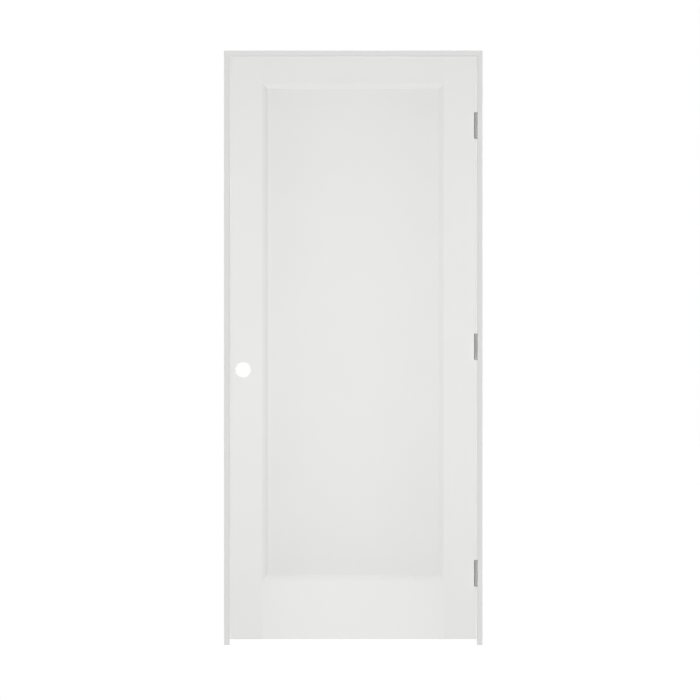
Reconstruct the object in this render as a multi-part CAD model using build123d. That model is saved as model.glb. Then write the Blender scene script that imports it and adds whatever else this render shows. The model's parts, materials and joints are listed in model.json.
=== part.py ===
from build123d import *
from math import radians, tan
import os

os.makedirs("parts", exist_ok=True)

# Hung leaf, closed and seen from the side it opens towards; all lengths in millimetres
slab_width = 854.0
slab_height = 2030.0
slab_thickness = 35.0
stile_face = 110.0
top_rail_face = 90.0
bottom_rail_face = 204.0
slab_arris = 0.8
lock_edge_slope = 3.0

# Moulded inner edge of the stiles and rails, and the flat panel in its groove
sticking_width = 18.0
sticking_lip = 1.5
sticking_bulge = 0.9
panel_thickness = 13.0
groove_depth = 12.0
panel_float = 2.0

# Frame planks round the leaf
jamb_thickness = 19.0
jamb_depth = 116.0
jamb_arris = 0.8
head_rabbet = 9.5
door_gap = 5.2
floor_gap = 20.5

# Stops on the frame, behind the closed leaf
stop_thickness = 11.0
stop_width = 32.0
stop_arris = 2.0
stop_gap = 5.0

# Butt hinges
hinge_height = 89.0
leaf_thickness = 2.5
leaf_seat = 30.5
leaf_corner = 15.9
mortise_clearance = 0.2
barrel_diameter = 12.7
pin_diameter = 6.4
pin_clearance = 0.08
pin_offset = 14.0
knuckle_count = 5
knuckle_gap = 0.3
slot_clearance = 0.6
button_diameter = 11.4
button_top_diameter = 9.0
button_height = 1.6
plug_stem = 9.0
plug_gap = 1.0
top_hinge_drop = 237.0
middle_hinge_rise = 1021.0
bottom_hinge_rise = 230.0

# Lock preparation
lock_bore_diameter = 54.0
lock_bore_rise = 940.0
lock_backset = 41.8
latch_bore_diameter = 22.2
faceplate_height = 57.2
faceplate_width = 25.4
faceplate_depth = 3.0
strike_height = 57.2
strike_width = 28.6
strike_depth = 2.0
strike_hole_diameter = 24.0
prep_corner = 6.4

# Planes that the pieces share; the back of the hinge jamb is x = 0 and the floor is z = 0
front_y = -jamb_depth / 2
slab_back_y = front_y + slab_thickness
slab_mid_y = front_y + slab_thickness / 2
hinge_face_x = -jamb_thickness
slab_hinge_x = hinge_face_x - door_gap
slab_lock_x = slab_hinge_x - slab_width
strike_face_x = slab_lock_x - door_gap
slab_mid_x = (slab_hinge_x + slab_lock_x) / 2
slab_bottom_z = floor_gap
slab_top_z = slab_bottom_z + slab_height
head_under_z = slab_top_z + door_gap
frame_top_z = head_under_z + jamb_thickness
opening_width = hinge_face_x - strike_face_x
slab_mirror = Plane.YZ.offset(slab_mid_x)

# Values that follow from the driving dimensions
panel_recess = (slab_thickness - panel_thickness) / 2
panel_entry = groove_depth - panel_float
lock_edge_inset = slab_thickness * tan(radians(lock_edge_slope))
pin_x = hinge_face_x + leaf_thickness - barrel_diameter / 2
pin_y = front_y - pin_offset
knuckle_pitch = (hinge_height + knuckle_gap) / knuckle_count
knuckle_length = knuckle_pitch - knuckle_gap
barrel_end = hinge_height / 2
lock_bore_x = slab_lock_x + lock_backset
lock_bore_z = slab_bottom_z + lock_bore_rise
hinge_heights = {
    "top": slab_top_z - top_hinge_drop,
    "middle": slab_bottom_z + middle_hinge_rise,
    "bottom": slab_bottom_z + bottom_hinge_rise,
}


def block(x0, x1, y0, y1, z0, z1):
    """A square-edged block between two corners."""
    centre = Pos((x0 + x1) / 2, (y0 + y1) / 2, (z0 + z1) / 2)
    return centre * Box(abs(x1 - x0), abs(y1 - y0), abs(z1 - z0))


def leaf_outline(length, grow):
    """A hinge leaf laid flat: root edge at local x = 0, far corners rounded."""
    outline = Pos((length + grow) / 2, 0) * Rectangle(length + grow, hinge_height + 2 * grow)
    return fillet(outline.vertices().group_by(Axis.X)[-1], leaf_corner + grow)


def leaf_mortise(face_x, depth, height):
    """The shallow round-cornered seat of one hinge leaf, open to the front edge."""
    seat = Plane((face_x, front_y, height), x_dir=(0, 1, 0), z_dir=(1, 0, 0))
    return extrude(seat * leaf_outline(leaf_seat, mortise_clearance), depth)


def side_jamb_blank():
    """Hinge-side plank: doorway corners eased, top rabbeted for the head."""
    plan = Pos(-jamb_thickness / 2, 0) * Rectangle(jamb_thickness, jamb_depth)
    plan = fillet(plan.vertices().group_by(Axis.X)[0], jamb_arris)
    plank = extrude(plan, frame_top_z)
    rabbet_x = hinge_face_x + head_rabbet
    return plank - block(hinge_face_x, rabbet_x, -jamb_depth, jamb_depth, head_under_z, frame_top_z)


def hinge_jamb():
    """Side jamb with a seat for each hinge leaf."""
    jamb = side_jamb_blank()
    for height in hinge_heights.values():
        jamb -= leaf_mortise(hinge_face_x, leaf_thickness, height)
    return jamb


def strike_jamb():
    """Side jamb with a shallow strike seat and the latch hole through it."""
    jamb = mirror(side_jamb_blank(), about=slab_mirror)
    seat = Plane((strike_face_x, slab_mid_y, lock_bore_z), x_dir=(0, 0, 1), z_dir=(1, 0, 0))
    jamb -= extrude(seat * RectangleRounded(strike_height, strike_width, prep_corner), -strike_depth)
    hole = Rot(0, 90, 0) * Cylinder(strike_hole_diameter / 2, 2 * jamb_thickness)
    return jamb - Pos(strike_face_x - jamb_thickness / 2, slab_mid_y, lock_bore_z) * hole


def head_jamb():
    """Top plank, its ends let into the side jambs, lower corners eased."""
    section = Pos(0, jamb_thickness / 2) * Rectangle(jamb_depth, jamb_thickness)
    section = fillet(section.vertices().group_by(Axis.Y)[0], jamb_arris)
    end = Plane((strike_face_x - head_rabbet, 0, head_under_z), x_dir=(0, 1, 0), z_dir=(1, 0, 0))
    return extrude(end * section, opening_width + 2 * head_rabbet)


def side_stop():
    """Hinge-side stop strip, from the foot of the leaf up to the head stop."""
    plan = Pos(-stop_thickness / 2, stop_width / 2) * Rectangle(stop_thickness, stop_width)
    plan = fillet(plan.vertices().group_by(Axis.X)[0], stop_arris)
    foot = Pos(hinge_face_x, slab_back_y + stop_gap, slab_bottom_z)
    return foot * extrude(plan, head_under_z - stop_thickness - slab_bottom_z)


def head_stop():
    """Stop strip under the head, from jamb to jamb."""
    section = Pos(stop_width / 2, -stop_thickness / 2) * Rectangle(stop_width, stop_thickness)
    section = fillet(section.vertices().group_by(Axis.Y)[0], stop_arris)
    corner = (strike_face_x, slab_back_y + stop_gap, head_under_z)
    end = Plane(corner, x_dir=(0, 1, 0), z_dir=(1, 0, 0))
    return extrude(end * section, opening_width)


def moulded_section(face, back_inset):
    """Section of a stile or rail: local x from its outer edge inwards, local y from front to back.

    Both faces fall to the panel in a slightly rounded bevel, with the panel groove between.
    """
    nose = face + sticking_width
    groove = nose - groove_depth
    bevel_foot = panel_recess - sticking_lip
    back = slab_thickness
    edges = [
        Polyline((face, 0), (0, 0), (back_inset, back), (face, back)),
        SagittaArc((face, back), (nose, back - bevel_foot), sticking_bulge),
        Polyline((nose, back - bevel_foot), (nose, back - panel_recess), (groove, back - panel_recess),
                 (groove, panel_recess), (nose, panel_recess), (nose, bevel_foot)),
        SagittaArc((nose, bevel_foot), (face, 0), sticking_bulge),
    ]
    return make_face(edges)


def stile_blank(back_inset):
    """Full-height stile on the lock side, its outer edge eased and falling back by back_inset."""
    section = moulded_section(stile_face, back_inset)
    section = fillet(section.vertices().sort_by(Axis.X)[:2], slab_arris)
    return Pos(slab_lock_x, front_y, slab_bottom_z) * extrude(section, slab_height)


def lock_stile(blank):
    """Lock-side stile: cross bore, latch bore from the edge, and the seat of the latch faceplate."""
    bore = Rot(90, 0, 0) * Cylinder(lock_bore_diameter / 2, 2 * slab_thickness)
    stile = blank - Pos(lock_bore_x, slab_mid_y, lock_bore_z) * bore
    latch = Rot(0, 90, 0) * Cylinder(latch_bore_diameter / 2, lock_backset)
    stile -= Pos(slab_lock_x + lock_backset / 2, slab_mid_y, lock_bore_z) * latch
    edge_point = (slab_lock_x + lock_edge_inset / 2, slab_mid_y, lock_bore_z)
    edge = Plane(edge_point, x_dir=(0, 0, 1), z_dir=(-slab_thickness, lock_edge_inset, 0))
    seat = RectangleRounded(faceplate_height, faceplate_width, prep_corner)
    return stile - extrude(edge * seat, -faceplate_depth)


def hinge_stile(blank):
    """Hinge-side stile with a seat for each hinge leaf."""
    stile = blank
    for height in hinge_heights.values():
        stile -= leaf_mortise(slab_hinge_x, -leaf_thickness, height)
    return stile


def rail(face, edge_z, inwards, stiles):
    """Rail between the stiles, its ends coped over their moulding and tongued into their groove."""
    length = slab_width - 2 * stile_face
    start_x = slab_mid_x + inwards * length / 2
    end = Plane((start_x, front_y, edge_z), x_dir=(0, 0, inwards), z_dir=(-inwards, 0, 0))
    return extrude(end * moulded_section(face, 0), length) - stiles[0] - stiles[1]


def panel():
    """Flat board whose edges float in the grooves."""
    side = stile_face + sticking_width - panel_entry
    low = slab_bottom_z + bottom_rail_face + sticking_width - panel_entry
    high = slab_top_z - top_rail_face - sticking_width + panel_entry
    front = front_y + panel_recess
    return block(slab_lock_x + side, slab_hinge_x - side, front, front + panel_thickness, low, high)


def knuckle_height(index):
    """Mid-height of one knuckle above the middle of the barrel."""
    return index * knuckle_pitch + knuckle_length / 2 - barrel_end


def hinge_leaf(own, face):
    """One leaf about a pin at the origin: plate from x = face outwards, running back to +Y, with its knuckles."""
    root = Plane((face, 0, 0), x_dir=(0, 1, 0), z_dir=(1, 0, 0))
    leaf = extrude(root * leaf_outline(pin_offset + leaf_seat, 0), leaf_thickness)
    slot = Box(barrel_diameter, barrel_diameter + 2 * slot_clearance, knuckle_pitch + knuckle_gap)
    for index in range(knuckle_count):
        if index not in own:
            leaf -= Pos(barrel_diameter / 2, 0, knuckle_height(index)) * slot
    for index in own:
        leaf += Pos(0, 0, knuckle_height(index)) * Cylinder(barrel_diameter / 2, knuckle_length)
    return leaf - Cylinder(pin_diameter / 2 + pin_clearance, 2 * hinge_height)


def button():
    """Low tapered button standing on z = 0."""
    return Pos(0, 0, button_height / 2) * Cone(button_diameter / 2, button_top_diameter / 2, button_height)


def hinge_pin():
    """Pin through the knuckles, its button resting on the top knuckle."""
    foot = plug_stem + plug_gap - barrel_end
    shaft = Pos(0, 0, (barrel_end + foot) / 2) * Cylinder(pin_diameter / 2, barrel_end - foot)
    return shaft + Pos(0, 0, barrel_end) * button()


def hinge_plug():
    """Button plug that closes the foot of the bottom knuckle."""
    stem = Pos(0, 0, plug_stem / 2 - barrel_end) * Cylinder(pin_diameter / 2, plug_stem)
    return stem + Pos(0, 0, -barrel_end) * Rot(180, 0, 0) * button()


lock_blank = stile_blank(lock_edge_inset)
hinge_blank = mirror(stile_blank(0), about=slab_mirror)
stile_blanks = (hinge_blank, lock_blank)
hinge_side_stop = side_stop()
frame_leaf = hinge_leaf(range(0, knuckle_count, 2), hinge_face_x - pin_x)
door_leaf = mirror(hinge_leaf(range(1, knuckle_count, 2), pin_x - slab_hinge_x), about=Plane.YZ)
pin = hinge_pin()
plug = hinge_plug()

pieces = {
    "hinge_jamb": hinge_jamb(),
    "strike_jamb": strike_jamb(),
    "head_jamb": head_jamb(),
    "hinge_side_stop": hinge_side_stop,
    "strike_side_stop": mirror(hinge_side_stop, about=slab_mirror),
    "head_stop": head_stop(),
    "hinge_stile": hinge_stile(hinge_blank),
    "lock_stile": lock_stile(lock_blank),
    "top_rail": rail(top_rail_face, slab_top_z, -1, stile_blanks),
    "bottom_rail": rail(bottom_rail_face, slab_bottom_z, 1, stile_blanks),
    "panel": panel(),
}
for place, height in hinge_heights.items():
    axis = Pos(pin_x, pin_y, height)
    pieces[f"{place}_hinge_jamb_leaf"] = axis * frame_leaf
    pieces[f"{place}_hinge_door_leaf"] = axis * door_leaf
    pieces[f"{place}_hinge_pin"] = axis * pin
    pieces[f"{place}_hinge_plug"] = axis * plug

for name, piece in pieces.items():
    export_step(piece, f"parts/{name}.step")
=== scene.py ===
"""Looks of a prehung interior door: primed leaf and frame, satin nickel hinges and a white studio."""

import json
import logging
import math
from collections.abc import Iterable, Mapping
from dataclasses import dataclass, field, replace
from enum import Enum
from typing import Any

import bmesh
import bpy
from mathutils import Matrix, Vector

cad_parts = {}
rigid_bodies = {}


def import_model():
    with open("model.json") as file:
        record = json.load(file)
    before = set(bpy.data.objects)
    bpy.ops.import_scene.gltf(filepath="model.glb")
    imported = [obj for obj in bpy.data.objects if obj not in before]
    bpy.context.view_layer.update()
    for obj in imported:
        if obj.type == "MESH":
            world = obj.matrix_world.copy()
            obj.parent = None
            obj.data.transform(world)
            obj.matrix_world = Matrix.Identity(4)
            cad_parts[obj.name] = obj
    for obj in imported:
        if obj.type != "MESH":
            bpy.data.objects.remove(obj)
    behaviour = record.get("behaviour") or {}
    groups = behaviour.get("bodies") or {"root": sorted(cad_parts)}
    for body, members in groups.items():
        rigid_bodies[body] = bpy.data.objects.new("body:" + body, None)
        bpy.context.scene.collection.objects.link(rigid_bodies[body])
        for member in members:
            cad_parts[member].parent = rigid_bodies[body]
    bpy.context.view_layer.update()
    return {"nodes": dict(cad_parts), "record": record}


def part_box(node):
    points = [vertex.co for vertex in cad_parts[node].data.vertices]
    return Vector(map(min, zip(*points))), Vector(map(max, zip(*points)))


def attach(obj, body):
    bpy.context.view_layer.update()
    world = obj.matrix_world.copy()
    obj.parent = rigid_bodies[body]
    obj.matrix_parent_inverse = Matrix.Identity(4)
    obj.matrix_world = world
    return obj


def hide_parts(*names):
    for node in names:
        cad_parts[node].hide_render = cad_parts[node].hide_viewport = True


LOG = logging.getLogger("door")
MM = 0.001
Colour = tuple[float, float, float]
Point = tuple[float, float, float]
Mount = Mapping[str, Any]
# Numbers of the colour sockets on a Mix node.
MIX_FIRST = 6
MIX_SECOND = 7
MIX_RESULT = 2


class Place(Enum):
    """Where a hinge sits on the leaf."""

    TOP = "top"
    MIDDLE = "middle"
    BOTTOM = "bottom"


class Side(Enum):
    """One of a hinge's two leaves: its CAD name, its body, the plank it is let into and its way along X."""

    JAMB = ("jamb_leaf", "frame", "hinge_jamb", 1)
    DOOR = ("door_leaf", "door", "hinge_stile", -1)

    def __init__(self, part: str, body: str, plank: str, way: int) -> None:
        """Give the four values their names."""
        self.part = part
        self.body = body
        self.plank = plank
        self.way = way

    def face(self) -> float:
        """X of the plank's face, which the leaf lies flush with."""
        low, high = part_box(self.plank)
        return low.x if self.way > 0 else high.x


class Grain(Enum):
    """Which way a frame plank's grain runs, as the stretch of its grain pattern along X, Y and Z."""

    UPRIGHT = (1.0, 1.0, 0.02)
    LEVEL = (0.02, 1.0, 1.0)


class Wire:
    """A number that leaves a node; arithmetic on it adds Math nodes to its tree."""

    def __init__(self, graph: "Graph", socket: bpy.types.NodeSocket) -> None:
        """Wrap an output socket of a node in graph."""
        self.graph = graph
        self.socket = socket

    def _math(self, operation: str, first: "Wire | float", second: "Wire | float") -> "Wire":
        """Add one Math node and return its result."""
        return self.graph.add("ShaderNodeMath", {"operation": operation}, {0: first, 1: second})

    def __add__(self, other: "Wire | float") -> "Wire":
        """Sum of two values."""
        return self._math("ADD", self, other)

    __radd__ = __add__

    def __sub__(self, other: "Wire | float") -> "Wire":
        """Difference of two values."""
        return self._math("SUBTRACT", self, other)

    def __rsub__(self, other: float) -> "Wire":
        """Difference with the number on the left."""
        return self._math("SUBTRACT", other, self)

    def __mul__(self, other: "Wire | float") -> "Wire":
        """Product of two values."""
        return self._math("MULTIPLY", self, other)

    __rmul__ = __mul__

    def largest(self, other: "Wire | float") -> "Wire":
        """The larger of two values."""
        return self._math("MAXIMUM", self, other)

    def smallest(self, other: "Wire | float") -> "Wire":
        """The smaller of two values."""
        return self._math("MINIMUM", self, other)

    def below(self, limit: float) -> "Wire":
        """1 where the value is under the limit, otherwise 0."""
        return self._math("LESS_THAN", self, limit)


class Graph:
    """A node tree that is filled by one method."""

    def __init__(self, tree: bpy.types.NodeTree) -> None:
        """Start from an empty tree."""
        self.tree = tree
        tree.nodes.clear()

    def add(
        self,
        kind: str,
        settings: Mapping[str, Any] | None = None,
        sockets: Mapping[int | str, Any] | None = None,
        output: int | str = 0,
    ) -> Wire:
        """Add a node, set it up and connect it.

        Args:
            kind: the node's type name.
            settings: properties of the node, set before its sockets.
            sockets: values or wires for its inputs, by name or number.
            output: the output to return.

        Returns:
            The chosen output, or the node's first one.
        """
        node = self.tree.nodes.new(kind)
        for name, value in (settings or {}).items():
            setattr(node, name, value)
        for key, value in (sockets or {}).items():
            if isinstance(value, Wire):
                self.tree.links.new(value.socket, node.inputs[key])
            else:
                node.inputs[key].default_value = value
        return Wire(self, node.outputs[output]) if node.outputs else Wire(self, node.inputs[0])

    def noise(self, place: Wire, size: float, detail: float, roughness: float = 0.5) -> Wire:
        """Noise whose features have about the given size, in metres.

        Args:
            place: the point being shaded, stretched or not.
            size: the size of the largest features.
            detail: how many finer layers lie over them.
            roughness: how strong those finer layers are.

        Returns:
            A value from 0 to 1.
        """
        return self.add(
            "ShaderNodeTexNoise",
            sockets={"Vector": place, "Scale": 1 / size, "Detail": detail, "Roughness": roughness},
        )

    def stretch(self, place: Wire, scale: Point) -> Wire:
        """A place with its coordinates scaled along X, Y and Z."""
        return self.add("ShaderNodeMapping", {"vector_type": "POINT"}, {"Vector": place, "Scale": scale})

    def along(self, place: Wire, axis: str) -> Wire:
        """One coordinate of a place."""
        return self.add("ShaderNodeSeparateXYZ", sockets={"Vector": place}, output=axis)

    def blend(self, share: Wire, first: "Wire | Colour", second: "Wire | Colour") -> Wire:
        """The first colour mixed with a share of the second.

        Args:
            share: 0 for the first colour alone, 1 for the second.
            first: a colour, fixed or from a node.
            second: another.

        Returns:
            The mixed colour.
        """
        pair = [colour if isinstance(colour, Wire) else opaque(colour) for colour in (first, second)]
        return self.add(
            "ShaderNodeMix",
            {"data_type": "RGBA"},
            {"Factor": share, MIX_FIRST: pair[0], MIX_SECOND: pair[1]},
            output=MIX_RESULT,
        )

    def bump(self, height: Wire, depth: float) -> Wire:
        """A normal bent by a height from 0 to 1 that stands for a depth in metres."""
        return self.add("ShaderNodeBump", sockets={"Height": height, "Strength": 1.0, "Distance": depth})

    def glow(self, level: float) -> Wire:
        """Plain white light of the given level."""
        return self.add("ShaderNodeEmission", sockets={"Color": opaque((level,) * 3), "Strength": 1.0})

    def ray(self, kind: str) -> Wire:
        """1 on light paths of the given kind, otherwise 0."""
        return self.add("ShaderNodeLightPath", output=f"Is {kind} Ray")


def empty_material(name: str) -> tuple[bpy.types.Material, Graph]:
    """A new node material and its cleared graph."""
    material = bpy.data.materials.new(name)
    material.use_nodes = True
    return material, Graph(material.node_tree)


def opaque(colour: Colour) -> tuple[float, float, float, float]:
    """A colour with full alpha."""
    return (*colour, 1.0)


@dataclass(frozen=True)
class Cut:
    """Room cut out of a piece after priming: the box round it, as its middle and half sizes in metres."""

    middle: Vector
    half: Vector

    @classmethod
    def at_bore(cls, mount: Mount, seat: Point = (0.0, 0.0, 0.0), slack: float = 0.05 * MM) -> "Cut":
        """The box round a bore and the seat let in at its mouth.

        Args:
            mount: the bore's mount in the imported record; its axis points to the mouth.
            seat: the seat's sizes along X, Y and Z.
            slack: how far the box stays inside the piece's faces and reaches past the bore's wall.

        Returns:
            The cut.
        """
        axis = Vector(mount["axis"])
        depth = abs(axis.dot(Vector(seat)))
        radius = mount["dims"]["r_mm"] * MM
        along = (mount["dims"]["length_mm"] * MM + depth) / 2 - slack
        half = [along if way else max(radius, size / 2) + slack for way, size in zip(axis, seat)]
        return cls(Vector(mount["pos_m"]) + axis * depth / 2, Vector(half))


@dataclass(frozen=True)
class BareWood:
    """Unpainted wood, which shows inside whatever was cut after priming."""

    colour: Colour
    dark_colour: Colour
    fibre_size: float = 0.9 * MM

    def show(self, graph: Graph, place: Wire, painted: Wire, cuts: Iterable[Cut]) -> Wire:
        """Lay the wood's colour over the painted one inside the cuts.

        Args:
            graph: the material's graph.
            place: the point being shaded.
            painted: the colour elsewhere.
            cuts: where the wood is bare.

        Returns:
            The colour to use.
        """
        bare: Wire | float = 0.0
        for cut in cuts:
            inside: Wire | float = 1.0
            for axis, middle, half in zip("XYZ", cut.middle, cut.half):
                off = graph.along(place, axis) - middle
                inside = (off * off).below(half * half) * inside
            bare = inside.largest(bare)
        fibre = graph.noise(place, self.fibre_size, detail=4.0, roughness=0.7)
        return graph.blend(bare, painted, graph.blend(fibre, self.colour, self.dark_colour))


@dataclass(frozen=True)
class Primer:
    """Sprayed white primer: a faint mottle, an orange-peel skin and, on planks, grain showing through.

    The colour is painted shade: kept in full in the middle of a piece and darkened towards its ends and,
    where the rim share is set, along its rim. Lengths are in metres, colours linear; the end share is the
    share of the colour taken off at the ends along X and Z.
    """

    name: str
    slot: str
    colour: Colour
    thin_colour: Colour
    core: BareWood
    # Painted shade: the share of the colour taken off at the ends along X and Z, and along the rim.
    end_shade: tuple[float, float] = (0.0, 0.0)
    rim_shade: float = 0.0
    rim_width: float = 9.0 * MM
    rim_inset: float = 10.0 * MM
    roughness: float = 0.62
    roughness_spread: float = 0.12
    shine: float = 0.25
    mottle_size: float = 160.0 * MM
    peel_size: float = 2.6 * MM
    peel_height: float = 0.2 * MM
    peel_tone: float = 0.5
    fleck_size: float = 0.7 * MM
    fleck_share: float = 0.3
    grain: Grain | None = None
    grain_size: float = 2.2 * MM
    grain_share: float = 0.5
    grain_tone: float = 0.4

    def painted_shade(self, graph: Graph, place: Wire, box: tuple[Vector, Vector]) -> Wire:
        """Painted shade: the share of the colour kept, 1 in the middle of a piece, less towards its ends and
        rim.

        Args:
            graph: the material's graph.
            place: the point being shaded.
            box: the piece's lowest and highest corners.

        Returns:
            The share of the colour kept after the painted shade.
        """
        # Painted shade: take colour off towards the piece's ends and, where set, along its rim.
        lit_share: Wire | float = 1.0
        rim: Wire | float = 1.0
        for axis, share in zip("XZ", self.end_shade):
            low, high = getattr(box[0], axis.lower()), getattr(box[1], axis.lower())
            along = graph.along(place, axis)
            off_middle = (along - (low + high) / 2) * (2 / (high - low))
            lit_share = lit_share - off_middle * off_middle * share
            if self.rim_shade:
                for inside in (along - (low + self.rim_inset), (high - self.rim_inset) - along):
                    rim = (inside * (1 / self.rim_width)).smallest(rim)
        return lit_share - (1.0 - rim.largest(0.0)) * self.rim_shade if self.rim_shade else lit_share

    def build(self, piece: str, cuts: Iterable[Cut] = ()) -> bpy.types.Material:
        """Make the node material of one piece.

        Args:
            piece: the CAD node it is for.
            cuts: where the piece was cut after priming.

        Returns:
            The finished material.
        """
        material, graph = empty_material(f"{self.name}_{piece}")
        place = graph.add("ShaderNodeTexCoord", output="Object")
        mottle = graph.noise(place, self.mottle_size, detail=5.0, roughness=0.6)
        peel = graph.noise(place, self.peel_size, detail=2.0, roughness=0.45)
        fleck = graph.noise(place, self.fleck_size, detail=1.0)
        height = peel + fleck * self.fleck_share
        tone = mottle * (1 - self.peel_tone) + peel * self.peel_tone
        if self.grain:
            stretched = graph.stretch(place, self.grain.value)
            fibre = graph.noise(stretched, self.grain_size, detail=3.0, roughness=0.6)
            height = height + fibre * self.grain_share
            tone = tone * (1 - self.grain_tone) + fibre * self.grain_tone
        colour = graph.blend(tone, self.colour, self.thin_colour)
        # Painted shade: darken the colour towards the piece's ends and rim.
        if any(self.end_shade):
            colour = graph.add(
                "ShaderNodeVectorMath",
                {"operation": "SCALE"},
                {0: colour, "Scale": self.painted_shade(graph, place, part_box(piece))},
            )
        if cuts:
            colour = self.core.show(graph, place, colour, cuts)
        shader = graph.add(
            "ShaderNodeBsdfPrincipled",
            sockets={
                "Base Color": colour,
                "Roughness": self.roughness - self.roughness_spread / 2 + mottle * self.roughness_spread,
                "Normal": graph.bump(height, self.peel_height),
                "Specular IOR Level": self.shine,
            },
        )
        graph.add("ShaderNodeOutputMaterial", sockets={"Surface": shader})
        return material


@dataclass(frozen=True)
class SatinNickel:
    """Brushed and lacquered nickel plate: long fine strokes along one axis over a soft cloud."""

    name: str
    slot: str
    colour: Colour
    worn_colour: Colour
    stroke: Point
    roughness: float = 0.46
    roughness_spread: float = 0.16
    stroke_size: float = 0.35 * MM
    stroke_depth: float = 0.012 * MM
    cloud_size: float = 20.0 * MM
    cloud_tone: float = 0.5

    def build(self) -> bpy.types.Material:
        """Make the node material.

        Returns:
            The finished material.
        """
        material, graph = empty_material(self.name)
        place = graph.add("ShaderNodeTexCoord", output="Object")
        stroke = graph.noise(graph.stretch(place, self.stroke), self.stroke_size, detail=3.0, roughness=0.7)
        cloud = graph.noise(place, self.cloud_size, detail=4.0)
        tone = stroke * (1 - self.cloud_tone) + cloud * self.cloud_tone
        colour = graph.blend(tone, self.colour, self.worn_colour)
        shader = graph.add(
            "ShaderNodeBsdfPrincipled",
            sockets={
                "Base Color": colour,
                "Metallic": 1.0,
                "Roughness": self.roughness - self.roughness_spread / 2 + stroke * self.roughness_spread,
                "Normal": graph.bump(stroke, self.stroke_depth),
            },
        )
        graph.add("ShaderNodeOutputMaterial", sockets={"Surface": shader})
        return material


FIBREBOARD = BareWood((0.42, 0.295, 0.175), (0.34, 0.23, 0.13))
PINE = BareWood((0.60, 0.425, 0.245), (0.50, 0.335, 0.18))
# Painted shade and painted light: the leaf's pieces are one primer, set piece by piece to lighter and darker
# tones and darkened towards their ends.
STILE_PRIMER = Primer(
    name="stile_primer",
    slot="slab_primer",
    colour=(0.825, 0.825, 0.810),
    thin_colour=(0.805, 0.805, 0.790),
    core=FIBREBOARD,
    end_shade=(0.0, 0.055),
)
# Painted shade along the lock stile's edge.
LOCK_STILE_PRIMER = replace(
    STILE_PRIMER, name="lock_stile_primer", rim_shade=0.035, rim_width=8.0 * MM, rim_inset=0.0
)
# Painted shade: the top rail is set darker than the stiles.
TOP_RAIL_PRIMER = replace(
    STILE_PRIMER,
    name="top_rail_primer",
    colour=(0.790, 0.790, 0.775),
    thin_colour=(0.770, 0.770, 0.755),
    end_shade=(0.012, 0.02),
)
# Painted light: the bottom rail is set lighter than the stiles.
BOTTOM_RAIL_PRIMER = replace(
    STILE_PRIMER,
    name="bottom_rail_primer",
    colour=(0.838, 0.838, 0.823),
    thin_colour=(0.818, 0.818, 0.803),
    end_shade=(0.045, 0.0),
)
# Painted shade along the panel's rim, beside the moulding.
PANEL_PRIMER = replace(
    STILE_PRIMER,
    name="panel_primer",
    colour=(0.828, 0.828, 0.813),
    thin_colour=(0.808, 0.808, 0.793),
    end_shade=(0.045, 0.055),
    rim_shade=0.02,
)
# Painted shade: the frame wears the same primer as the leaf, set darker, with the head jamb a little lighter
# than the uprights.
UPRIGHT_PRIMER = Primer(
    name="upright_primer",
    slot="frame_primer",
    colour=(0.720, 0.720, 0.717),
    thin_colour=(0.705, 0.705, 0.702),
    core=PINE,
    peel_height=0.04 * MM,
    grain=Grain.UPRIGHT,
)
LEVEL_PRIMER = replace(
    UPRIGHT_PRIMER,
    name="level_primer",
    colour=(0.735, 0.735, 0.732),
    thin_colour=(0.720, 0.720, 0.717),
    grain=Grain.LEVEL,
)
# Painted light: the head stop is set lighter than the head jamb, which brightens the gap above the leaf.
HEAD_STOP_PRIMER = replace(
    LEVEL_PRIMER, name="head_stop_primer", colour=(0.775, 0.775, 0.772), thin_colour=(0.760, 0.760, 0.757)
)
LEAF_NICKEL = SatinNickel(
    name="leaf_nickel",
    slot="hinge_nickel",
    colour=(0.195, 0.194, 0.190),
    worn_colour=(0.158, 0.157, 0.153),
    stroke=(1.0, 1.0, 0.03),
)
TURNED_NICKEL = replace(LEAF_NICKEL, name="turned_nickel", stroke=(0.05, 0.05, 1.0))
Dressing = tuple[tuple[Primer, tuple[str, ...]], ...]


def link(name: str, mesh: bpy.types.Mesh) -> bpy.types.Object:
    """Put a mesh into the scene as an object at the origin."""
    made = bpy.data.objects.new(name, mesh)
    bpy.context.scene.collection.objects.link(made)
    return made


def mesh_from(bm: bmesh.types.BMesh, name: str) -> bpy.types.Mesh:
    """Close a bmesh into a mesh with outward faces.

    Args:
        bm: the shape, freed here.
        name: the mesh's name.

    Returns:
        The new mesh.
    """
    bmesh.ops.recalc_face_normals(bm, faces=bm.faces)
    mesh = bpy.data.meshes.new(name)
    bm.to_mesh(mesh)
    bm.free()
    return mesh


def turn(bm: bmesh.types.BMesh, profile: Iterable[tuple[float, float]], axis: Vector, steps: int) -> None:
    """Add a closed ring to bm by turning a profile about an upright axis.

    Args:
        bm: the bmesh that takes the ring.
        profile: (radius, height) points of a closed outline.
        axis: a point on the axis; heights are above it.
        steps: faces around the ring.
    """
    rings = []
    for step in range(steps):
        angle = math.tau * step / steps
        way = Vector((math.cos(angle), math.sin(angle), 0))
        places = [axis + way * radius + Vector((0, 0, height)) for radius, height in profile]
        rings.append([bm.verts.new(place) for place in places])
    for step in range(steps):
        here, there = rings[step], rings[(step + 1) % steps]
        for index in range(len(here)):
            after = (index + 1) % len(here)
            bm.faces.new((here[index], there[index], there[after], here[after]))


def eased_ring(inner: float, outer: float, low: float, high: float, ease: float) -> list[tuple[float, float]]:
    """Profile of a tube whose outer ends are rounded by ease."""
    half = ease * (1 - math.sqrt(0.5))
    return [
        (inner, low),
        (outer - ease, low),
        (outer - half, low + half),
        (outer, low + ease),
        (outer, high - ease),
        (outer - half, high - half),
        (outer - ease, high),
        (inner, high),
    ]


def dress(piece: bpy.types.Object, material: bpy.types.Material) -> None:
    """Give a piece one material on all its faces."""
    piece.data.materials.clear()
    piece.data.materials.append(material)


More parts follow.
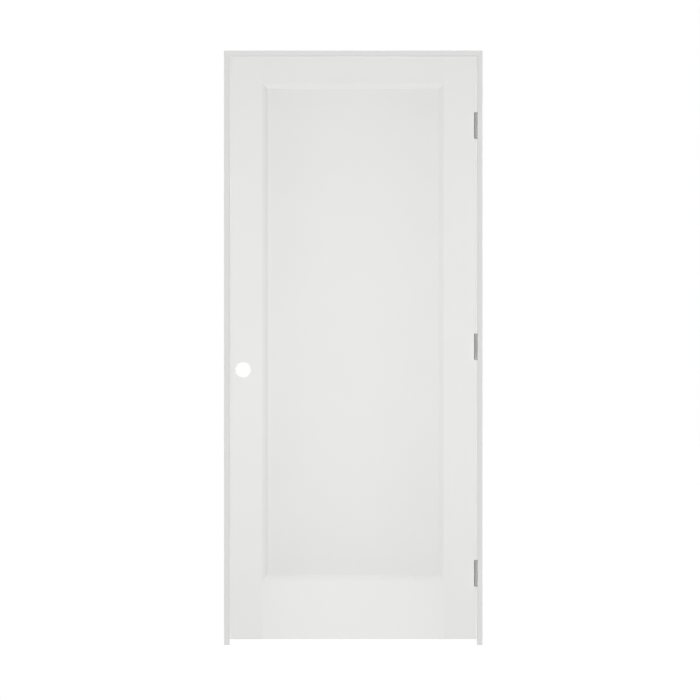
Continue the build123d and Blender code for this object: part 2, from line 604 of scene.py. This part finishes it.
def prime(
    cad: Mapping[str, bpy.types.Object], dressing: Dressing, cuts: Mapping[str, tuple[Cut, ...]]
) -> None:
    """Dress CAD pieces with their primers.

    Args:
        cad: the CAD objects by name.
        dressing: each primer with the pieces that wear it.
        cuts: where each piece was cut after priming.
    """
    for finish, names in dressing:
        for name in names:
            dress(cad[name], finish.build(name, cuts.get(name, ())))
            LOG.info("%s: %s", name, finish.name)


@dataclass
class PrimedLeaf:
    """The hung leaf: stiles, rails and panel in primer toned piece by piece as painted shade and light, with
    bare bores and latch seat.
    """

    mounts: Mapping[str, Mount]
    latch_seat: Point = (1.4 * MM, 25.4 * MM, 57.2 * MM)
    dressing: Dressing = (
        (STILE_PRIMER, ("hinge_stile",)),
        (LOCK_STILE_PRIMER, ("lock_stile",)),
        (TOP_RAIL_PRIMER, ("top_rail",)),
        (BOTTOM_RAIL_PRIMER, ("bottom_rail",)),
        (PANEL_PRIMER, ("panel",)),
    )

    def build(self, cad: Mapping[str, bpy.types.Object]) -> None:
        """Dress the CAD pieces of the leaf."""
        lock = Cut.at_bore(self.mounts["lock_bore"])
        latch = Cut.at_bore(self.mounts["latch_bore"], self.latch_seat)
        prime(cad, self.dressing, {"lock_stile": (lock, latch)})


@dataclass
class JambFrame:
    """The frame: primed planks and stops, grain showing faintly, in tones set as painted shade and light, and
    a bare strike seat.
    """

    mounts: Mapping[str, Mount]
    strike_seat: Point = (2.0 * MM, 28.6 * MM, 57.2 * MM)
    dressing: Dressing = (
        (UPRIGHT_PRIMER, ("hinge_jamb", "strike_jamb", "hinge_side_stop", "strike_side_stop")),
        (LEVEL_PRIMER, ("head_jamb",)),
        (HEAD_STOP_PRIMER, ("head_stop",)),
    )

    def build(self, cad: Mapping[str, bpy.types.Object]) -> None:
        """Dress the CAD pieces of the frame, each with its own grain direction."""
        strike = Cut.at_bore(self.mounts["strike_hole"], self.strike_seat)
        prime(cad, self.dressing, {"strike_jamb": (strike,)})


@dataclass
class ButtHinge:
    """One butt hinge; sizes in metres, places taken from the CAD nodes it stands for."""

    place: Place
    leaf_metal: bpy.types.Material
    turned_metal: bpy.types.Material
    knuckles: int = 5
    knuckle_gap: float = 0.3 * MM
    knuckle_ease: float = 0.45 * MM
    leaf_thickness: float = 2.5 * MM
    corner: float = 15.9 * MM
    corner_steps: int = 8
    slot_clearance: float = 0.6 * MM
    plate_ease: float = 0.35 * MM
    pin_radius: float = 3.2 * MM
    pin_play: float = 0.08 * MM
    button_ease: float = 1.2 * MM
    button_steps: int = 4
    tip: float = 0.01 * MM
    tip_weld: float = 0.05 * MM
    plate_weld: float = 0.001 * MM
    sink_radius: float = 4.4 * MM
    screw_steps: int = 28
    turn_steps: int = 40
    leaf_crease: float = math.radians(14)
    turned_crease: float = math.radians(38)
    screws: tuple[tuple[float, float], ...] = field(
        default=((24.0 * MM, -29.0 * MM), (24.0 * MM, 29.0 * MM), (36.0 * MM, 0.0))
    )

    def __post_init__(self) -> None:
        """Read the hinge's place and main sizes from its CAD nodes."""
        low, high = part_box(self.node("pin"))
        self.axis = Vector(((low.x + high.x) / 2, (low.y + high.y) / 2, 0))
        leaf_low, leaf_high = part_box(self.node("jamb_leaf"))
        self.axis.z = (leaf_low.z + leaf_high.z) / 2
        self.height = leaf_high.z - leaf_low.z
        self.barrel = self.axis.y - leaf_low.y
        self.reach = leaf_high.y - self.axis.y
        self.pitch = (self.height + self.knuckle_gap) / self.knuckles

    def node(self, part: str) -> str:
        """Name of one of the hinge's CAD nodes."""
        return f"{self.place.value}_hinge_{part}"

    def knuckle_span(self, index: int) -> tuple[float, float]:
        """Lowest and highest height of a knuckle above the middle of the barrel."""
        low = index * self.pitch - self.height / 2
        return low, low + self.pitch - self.knuckle_gap

    def root(self, side: Side) -> float:
        """How far behind the pin a plate starts: inside its own knuckles and clear of the pin."""
        bore = self.pin_radius + self.pin_play
        return 0.0 if abs(side.face() - self.axis.x) > bore else bore

    def plate_outline(self, own: range, root: float) -> list[tuple[float, float]]:
        """Outline of a leaf plate seen flat, as (distance behind the pin, height).

        Args:
            own: the knuckles that belong to this leaf.
            root: where the plate starts at those knuckles.

        Returns:
            The corner points in order, with each far corner as an arc.
        """
        half = self.height / 2
        notch = self.barrel + self.slot_clearance
        points: list[tuple[float, float]] = []
        for index in range(self.knuckles):
            low, high = self.knuckle_span(index)
            near = root if index in own else notch
            spare = 0.0 if index in own else self.knuckle_gap
            points += [(near, max(low - spare, -half)), (near, min(high + spare, half))]
        centre = self.reach - self.corner
        for quarter, middle in ((math.pi / 2, half - self.corner), (0.0, self.corner - half)):
            for step in range(self.corner_steps + 1):
                angle = quarter - step * math.pi / 2 / self.corner_steps
                way = (math.cos(angle), math.sin(angle))
                points.append((centre + self.corner * way[0], middle + self.corner * way[1]))
        return points

    def plate(self, own: range, side: Side) -> bpy.types.Mesh:
        """A leaf plate with eased edges and three sunk screw seats.

        Args:
            own: the knuckles that belong to this leaf.
            side: which leaf it is.

        Returns:
            The plate as a mesh in place.
        """
        curve = bpy.data.curves.new(side.part, "CURVE")
        curve.dimensions = "2D"
        curve.fill_mode = "BOTH"
        curve.extrude = self.leaf_thickness / 2 - self.plate_ease
        curve.bevel_depth = self.plate_ease
        curve.bevel_resolution = 1
        curve.offset = -self.plate_ease
        loops = [self.plate_outline(own, self.root(side))]
        for inset, height in self.screws:
            radius = self.sink_radius
            angles = [math.tau * step / self.screw_steps for step in range(self.screw_steps)]
            loops.append([(inset + radius * math.cos(a), height + radius * math.sin(a)) for a in angles])
        for loop in loops:
            spline = curve.splines.new("POLY")
            spline.points.add(len(loop) - 1)
            for point, (along, up) in zip(spline.points, loop):
                point.co = (along, up, 0, 1)
            spline.use_cyclic_u = True
        holder = bpy.data.objects.new(side.part, curve)
        bpy.context.scene.collection.objects.link(holder)
        mesh = bpy.data.meshes.new_from_object(holder.evaluated_get(bpy.context.evaluated_depsgraph_get()))
        bpy.data.objects.remove(holder)
        bpy.data.curves.remove(curve)
        turned = Matrix(((0, 0, 1, 0), (1, 0, 0, 0), (0, 1, 0, 0), (0, 0, 0, 1)))
        middle = side.face() + side.way * self.leaf_thickness / 2
        mesh.transform(Matrix.Translation((middle, self.axis.y, self.axis.z)) @ turned)
        return mesh

    def leaf(self, own: range, side: Side) -> None:
        """Build one leaf, plate and knuckles, in place of its CAD node."""
        bm = bmesh.new()
        plate = self.plate(own, side)
        bm.from_mesh(plate)
        bpy.data.meshes.remove(plate)
        bmesh.ops.remove_doubles(bm, verts=bm.verts, dist=self.plate_weld)
        for index in own:
            low, high = self.knuckle_span(index)
            ring = eased_ring(self.pin_radius + self.pin_play, self.barrel, low, high, self.knuckle_ease)
            turn(bm, ring, self.axis, self.turn_steps)
        mesh = mesh_from(bm, self.node(side.part))
        mesh.shade_smooth()
        mesh.set_sharp_from_angle(angle=self.leaf_crease)
        self.place_piece(mesh, side.part, side.body, self.leaf_metal)

    def button(self, radius: float, height: float) -> list[tuple[float, float]]:
        """Rounded outline of a button above z = 0, from its foot to the axis."""
        ease = self.button_ease
        angles = [math.pi / 2 * step / self.button_steps for step in range(self.button_steps + 1)]
        arc = [(radius - ease + ease * math.cos(a), height - ease + ease * math.sin(a)) for a in angles]
        return [(radius, 0.0), *arc, (self.tip, height)]

    def spindle(self, part: str) -> None:
        """Build the pin or the plug, a button on a round stem, in place of its CAD node."""
        low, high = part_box(self.node(part))
        bottom, top = low.z - self.axis.z, high.z - self.axis.z
        half = self.height / 2
        radius = (high.x - low.x) / 2
        if top > half:
            outline = [(self.tip, bottom), (self.pin_radius, bottom), (self.pin_radius, half)]
            outline += [(r, half + h) for r, h in self.button(radius, top - half)]
        else:
            outline = [(self.tip, top), (self.pin_radius, top), (self.pin_radius, -half)]
            outline += [(r, -half - h) for r, h in self.button(radius, -half - bottom)]
        bm = bmesh.new()
        turn(bm, outline, self.axis, self.turn_steps)
        bmesh.ops.remove_doubles(bm, verts=bm.verts, dist=self.tip_weld)
        mesh = mesh_from(bm, self.node(part))
        mesh.shade_smooth()
        mesh.set_sharp_from_angle(angle=self.turned_crease)
        self.place_piece(mesh, part, "frame", self.turned_metal)

    def place_piece(self, mesh: bpy.types.Mesh, part: str, body: str, metal: bpy.types.Material) -> None:
        """Put a finished mesh into the scene, on its body, in place of its CAD node."""
        piece = link(f"{self.node(part)}_shown", mesh)
        dress(piece, metal)
        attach(piece, body)
        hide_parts(self.node(part))
        LOG.info("%s on %s", piece.name, body)

    def seats(self, side: Side) -> list[tuple[Vector, Vector]]:
        """Where the screws of one leaf sit and which way they face.

        Args:
            side: which leaf.

        Returns:
            A (place, facing) pair for each screw, on the leaf's open face.
        """
        facing = Vector((-side.way, 0, 0))
        middle = Vector((side.face(), self.axis.y, self.axis.z))
        return [(middle + Vector((0, inset, height)), facing) for inset, height in self.screws]

    def build(self) -> None:
        """Build both leaves, the pin and the plug."""
        self.leaf(range(0, self.knuckles, 2), Side.JAMB)
        self.leaf(range(1, self.knuckles, 2), Side.DOOR)
        self.spindle("pin")
        self.spindle("plug")


@dataclass
class HingeScrews:
    """Cross-recessed flat-head screws of one body, set out by a node tree and kept as one plain mesh."""

    body: str
    seats: list[tuple[Vector, Vector]]
    metal: bpy.types.Material
    head_radius: float = 4.1 * MM
    rim: float = 0.15 * MM
    sunk: float = 0.15 * MM
    shank_radius: float = 2.3 * MM
    head_depth: float = 2.1 * MM
    recess_reach: float = 2.2 * MM
    recess_half: float = 0.55 * MM
    recess_depth: float = 1.5 * MM
    recess_taper: float = 0.4
    steps: int = 28
    crease: float = math.radians(30)
    seed: int = 7

    def head(self) -> bpy.types.Mesh:
        """One screw head, its top at z = 0 and its axis upright.

        Returns:
            A closed mesh with the cross recess sunk in its top.
        """
        bm = bmesh.new()
        rings = []
        for radius, height in (
            (self.head_radius - self.rim, 0.0),
            (self.head_radius, -self.rim),
            (self.shank_radius, -self.head_depth),
        ):
            angles = [math.tau * step / self.steps for step in range(self.steps)]
            rings.append([bm.verts.new((radius * math.cos(a), radius * math.sin(a), height)) for a in angles])
        for upper, lower in zip(rings, rings[1:]):
            for step in range(self.steps):
                after = (step + 1) % self.steps
                bm.faces.new((upper[step], lower[step], lower[after], upper[after]))
        bm.faces.new(rings[-1])
        reach, half = self.recess_reach, self.recess_half
        arm = ((reach, -half), (reach, half), (half, half))
        cross = []
        for quarter in range(4):
            spin = Matrix.Rotation(quarter * math.pi / 2, 3, "Z")
            cross += [spin @ Vector((along, aside, 0)) for along, aside in arm]
        top = [bm.verts.new(point) for point in cross]
        sunk = Vector((0, 0, self.recess_depth))
        floor = [bm.verts.new(point * self.recess_taper - sunk) for point in cross]
        count = len(cross)
        for step in range(count):
            after = (step + 1) % count
            bm.faces.new((top[step], top[after], floor[after], floor[step]))
        bm.faces.new(floor)
        rims = [
            bm.edges.get((loop[step], loop[(step + 1) % len(loop)]))
            for loop in (rings[0], top)
            for step in range(len(loop))
        ]
        bmesh.ops.triangle_fill(bm, edges=rims, use_beauty=True)
        return mesh_from(bm, "screw_head")

    def tree(self) -> bpy.types.NodeTree:
        """Node tree that stands a screw on each seat, each turned at random about its own axis.

        Returns:
            The finished geometry tree.
        """
        tree = bpy.data.node_groups.new("screws_on_seats", "GeometryNodeTree")
        for name, kind in (
            ("Seats", "NodeSocketGeometry"),
            ("Screw", "NodeSocketObject"),
            ("Metal", "NodeSocketMaterial"),
            ("Seed", "NodeSocketInt"),
        ):
            tree.interface.new_socket(name, in_out="INPUT", socket_type=kind)
        tree.interface.new_socket("Screws", in_out="OUTPUT", socket_type="NodeSocketGeometry")
        graph = Graph(tree)
        seats = graph.add("NodeGroupInput", output="Seats")
        screw = graph.add("NodeGroupInput", output="Screw")
        metal = graph.add("NodeGroupInput", output="Metal")
        seed = graph.add("NodeGroupInput", output="Seed")
        facing = graph.add(
            "GeometryNodeInputNamedAttribute", {"data_type": "FLOAT_VECTOR"}, {"Name": "facing"}
        )
        stood = graph.add("FunctionNodeAlignRotationToVector", {"axis": "Z"}, {"Vector": facing})
        angle = graph.add(
            "FunctionNodeRandomValue", {"data_type": "FLOAT"}, {2: 0.0, 3: math.tau, "Seed": seed}, output=1
        )
        spin = graph.add("FunctionNodeAxisAngleToRotation", sockets={"Axis": (0, 0, 1), "Angle": angle})
        turned = graph.add(
            "FunctionNodeRotateRotation", {"rotation_space": "LOCAL"}, {"Rotation": stood, "Rotate By": spin}
        )
        shape = graph.add("GeometryNodeObjectInfo", sockets={"Object": screw}, output="Geometry")
        placed = graph.add(
            "GeometryNodeInstanceOnPoints", sockets={"Points": seats, "Instance": shape, "Rotation": turned}
        )
        real = graph.add("GeometryNodeRealizeInstances", sockets={"Geometry": placed})
        dressed = graph.add("GeometryNodeSetMaterial", sockets={"Geometry": real, "Material": metal})
        graph.add("NodeGroupOutput", sockets={"Screws": dressed})
        return tree

    def build(self) -> None:
        """Set the screws out and leave them as one mesh on their body."""
        template = link("screw_template", self.head())
        points = bpy.data.meshes.new("screw_seats")
        points.from_pydata([place - facing * self.sunk for place, facing in self.seats], [], [])
        attribute = points.attributes.new("facing", "FLOAT_VECTOR", "POINT")
        for item, (_, facing) in zip(attribute.data, self.seats):
            item.vector = facing
        holder = link("screw_seats", points)
        modifier = holder.modifiers.new("screws", "NODES")
        modifier.node_group = self.tree()
        values = {"Screw": template, "Metal": self.metal, "Seed": self.seed}
        for item in modifier.node_group.interface.items_tree:
            if item.name in values:
                modifier[item.identifier] = values[item.name]
        mesh = bpy.data.meshes.new_from_object(holder.evaluated_get(bpy.context.evaluated_depsgraph_get()))
        bpy.data.objects.remove(holder)
        bpy.data.objects.remove(template)
        mesh.set_sharp_from_angle(angle=self.crease)
        piece = link(f"{self.body}_hinge_screws", mesh)
        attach(piece, self.body)
        LOG.info("%s: %d screws", piece.name, len(self.seats))


@dataclass(frozen=True)
class Lamp:
    """One studio lamp; level is how bright it makes a white card at the point it aims at, 1 for white."""

    name: str
    level: float
    place: Point
    aim: Point
    size: tuple[float, float] | None = None
    spread: float = 4.0

    def build(self) -> None:
        """Put the lamp into the scene: a soft panel where it has a size, otherwise parallel light."""
        way = Vector(self.aim) - Vector(self.place)
        data = bpy.data.lights.new(self.name, "AREA" if self.size else "SUN")
        data.energy = self.level * math.pi
        if self.size:
            data.energy *= math.pi * way.length_squared
            data.shape = "RECTANGLE"
            data.size, data.size_y = self.size
        else:
            data.angle = math.radians(self.spread)
        lamp = bpy.data.objects.new(self.name, data)
        lamp.location = self.place
        lamp.rotation_euler = way.to_track_quat("-Z", "Y").to_euler()
        lamp.visible_camera = False
        bpy.context.scene.collection.objects.link(lamp)


@dataclass
class Studio:
    """White studio seen square on through a long lens; lengths in metres."""

    centre: Point = (-0.4625, -0.058, 1.0297)
    metres_per_pixel: float = 0.00349
    image_pixels: int = 700
    lens_mm: float = 800.0
    sensor_mm: float = 36.0
    floor_half: float = 120.0
    floor_white: float = 0.92
    floor_catch: float = 0.16
    floor_bounce: float = 0.06
    clip_end: float = 500.0
    ambient: float = 0.02
    mirror_dark: float = 0.6
    lamp_far: float = 6.0
    lamp_rise: float = 1.0
    key_rise: float = 0.02
    fill_near: float = 1.6
    fill_side: float = 1.0
    back_far: float = 5.0

    def floor(self) -> None:
        """A wide pale floor that looks white and keeps a soft shadow."""
        bm = bmesh.new()
        bmesh.ops.create_grid(bm, x_segments=1, y_segments=1, size=self.floor_half)
        floor = link("studio_floor", mesh_from(bm, "studio_floor"))
        material, graph = empty_material("studio_floor")
        visible = graph.ray("Camera").largest(graph.ray("Glossy")).largest(graph.ray("Transmission"))
        catch = graph.add("ShaderNodeBsdfDiffuse", sockets={"Color": opaque((self.floor_catch,) * 3)})
        shown = graph.add("ShaderNodeAddShader", sockets={0: graph.glow(self.floor_white), 1: catch})
        bounce = graph.glow(self.floor_bounce)
        mixed = graph.add("ShaderNodeMixShader", sockets={0: visible, 1: bounce, 2: shown})
        graph.add("ShaderNodeOutputMaterial", sockets={"Surface": mixed})
        dress(floor, material)
        floor.visible_shadow = False

    def world(self) -> None:
        """White to the camera, bright sides and darker ends in reflections, and a faint fill otherwise."""
        world = bpy.data.worlds.new("studio_world")
        world.use_nodes = True
        bpy.context.scene.world = world
        graph = Graph(world.node_tree)
        way = graph.add("ShaderNodeTexCoord", output="Object")
        aside = graph.along(way, "X")
        up = graph.along(way, "Z")
        panels = (aside * aside + up * up) * (1 - self.mirror_dark) + self.mirror_dark
        visible = graph.ray("Camera").largest(graph.ray("Transmission"))
        strength = visible.largest(graph.ray("Glossy") * panels).largest(self.ambient)
        white = opaque((1.0, 1.0, 1.0))
        sky = graph.add("ShaderNodeBackground", sockets={"Color": white, "Strength": strength})
        graph.add("ShaderNodeOutputWorld", sockets={"Surface": sky})

    def at(self, right: float, back: float, up: float) -> Point:
        """A point given from the middle of the picture."""
        x, y, z = self.centre
        return (x + right, y + back, z + up)

    def lamps(self) -> None:
        """A square-on key with a weak broad fill, softer light from all sides, and two back lights."""
        far, rise, back = self.lamp_far, self.lamp_rise, self.back_far
        near = self.at(0, -self.fill_near, 0)
        broad = (self.fill_side, self.fill_side)
        for lamp in (
            Lamp("front_key", 0.835, self.at(0, -far, self.key_rise), self.centre, spread=0.4),
            Lamp("front_fill", 0.04, near, self.centre, size=broad),
            Lamp("left_fill", 0.14, self.at(-far, 0, rise), self.centre, spread=20.0),
            Lamp("right_fill", 0.07, self.at(far, 0, rise), self.centre, spread=20.0),
            Lamp("top_fill", 0.33, self.at(0, 0, far), self.centre, spread=30.0),
            Lamp("low_fill", 0.58, self.at(0, 0, -far), self.centre, spread=30.0),
            Lamp("back_left_fill", 0.70, self.at(-far, back, rise), self.centre, spread=15.0),
            Lamp("back_right_fill", 0.70, self.at(far, back, rise), self.centre, spread=15.0),
        ):
            lamp.build()

    def camera(self) -> None:
        """A long-lens camera square on to the front of the door."""
        data = bpy.data.cameras.new("photo_camera")
        data.lens = self.lens_mm
        data.sensor_width = self.sensor_mm
        data.clip_end = self.clip_end
        camera = bpy.data.objects.new("photo_camera", data)
        distance = self.lens_mm / self.sensor_mm * self.image_pixels * self.metres_per_pixel
        camera.location = self.at(0, -distance, 0)
        camera.rotation_euler = (math.pi / 2, 0, 0)
        bpy.context.scene.collection.objects.link(camera)
        bpy.context.scene.camera = camera

    def build(self) -> None:
        """Build the whole studio."""
        self.floor()
        self.world()
        self.lamps()
        self.camera()
        bpy.context.scene.view_settings.view_transform = "Standard"


def clear_scene() -> None:
    """Remove whatever Blender starts with."""
    for thing in list(bpy.data.objects):
        bpy.data.objects.remove(thing)


def main() -> None:
    """Load the frame, dress it, add what only the looks need, and set up the studio."""
    logging.basicConfig(level=logging.INFO, format="%(name)s: %(message)s")
    clear_scene()
    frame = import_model()
    mounts = {mount["name"]: mount for mount in frame["record"]["mounts"]}
    PrimedLeaf(mounts).build(frame["nodes"])
    JambFrame(mounts).build(frame["nodes"])
    leaf_metal = LEAF_NICKEL.build()
    turned_metal = TURNED_NICKEL.build()
    hinges = [ButtHinge(place, leaf_metal, turned_metal) for place in Place]
    for hinge in hinges:
        hinge.build()
    for side in Side:
        seats = [seat for hinge in hinges for seat in hinge.seats(side)]
        HingeScrews(side.body, seats, turned_metal).build()
    Studio().build()


if __name__ == "__main__":
    main()
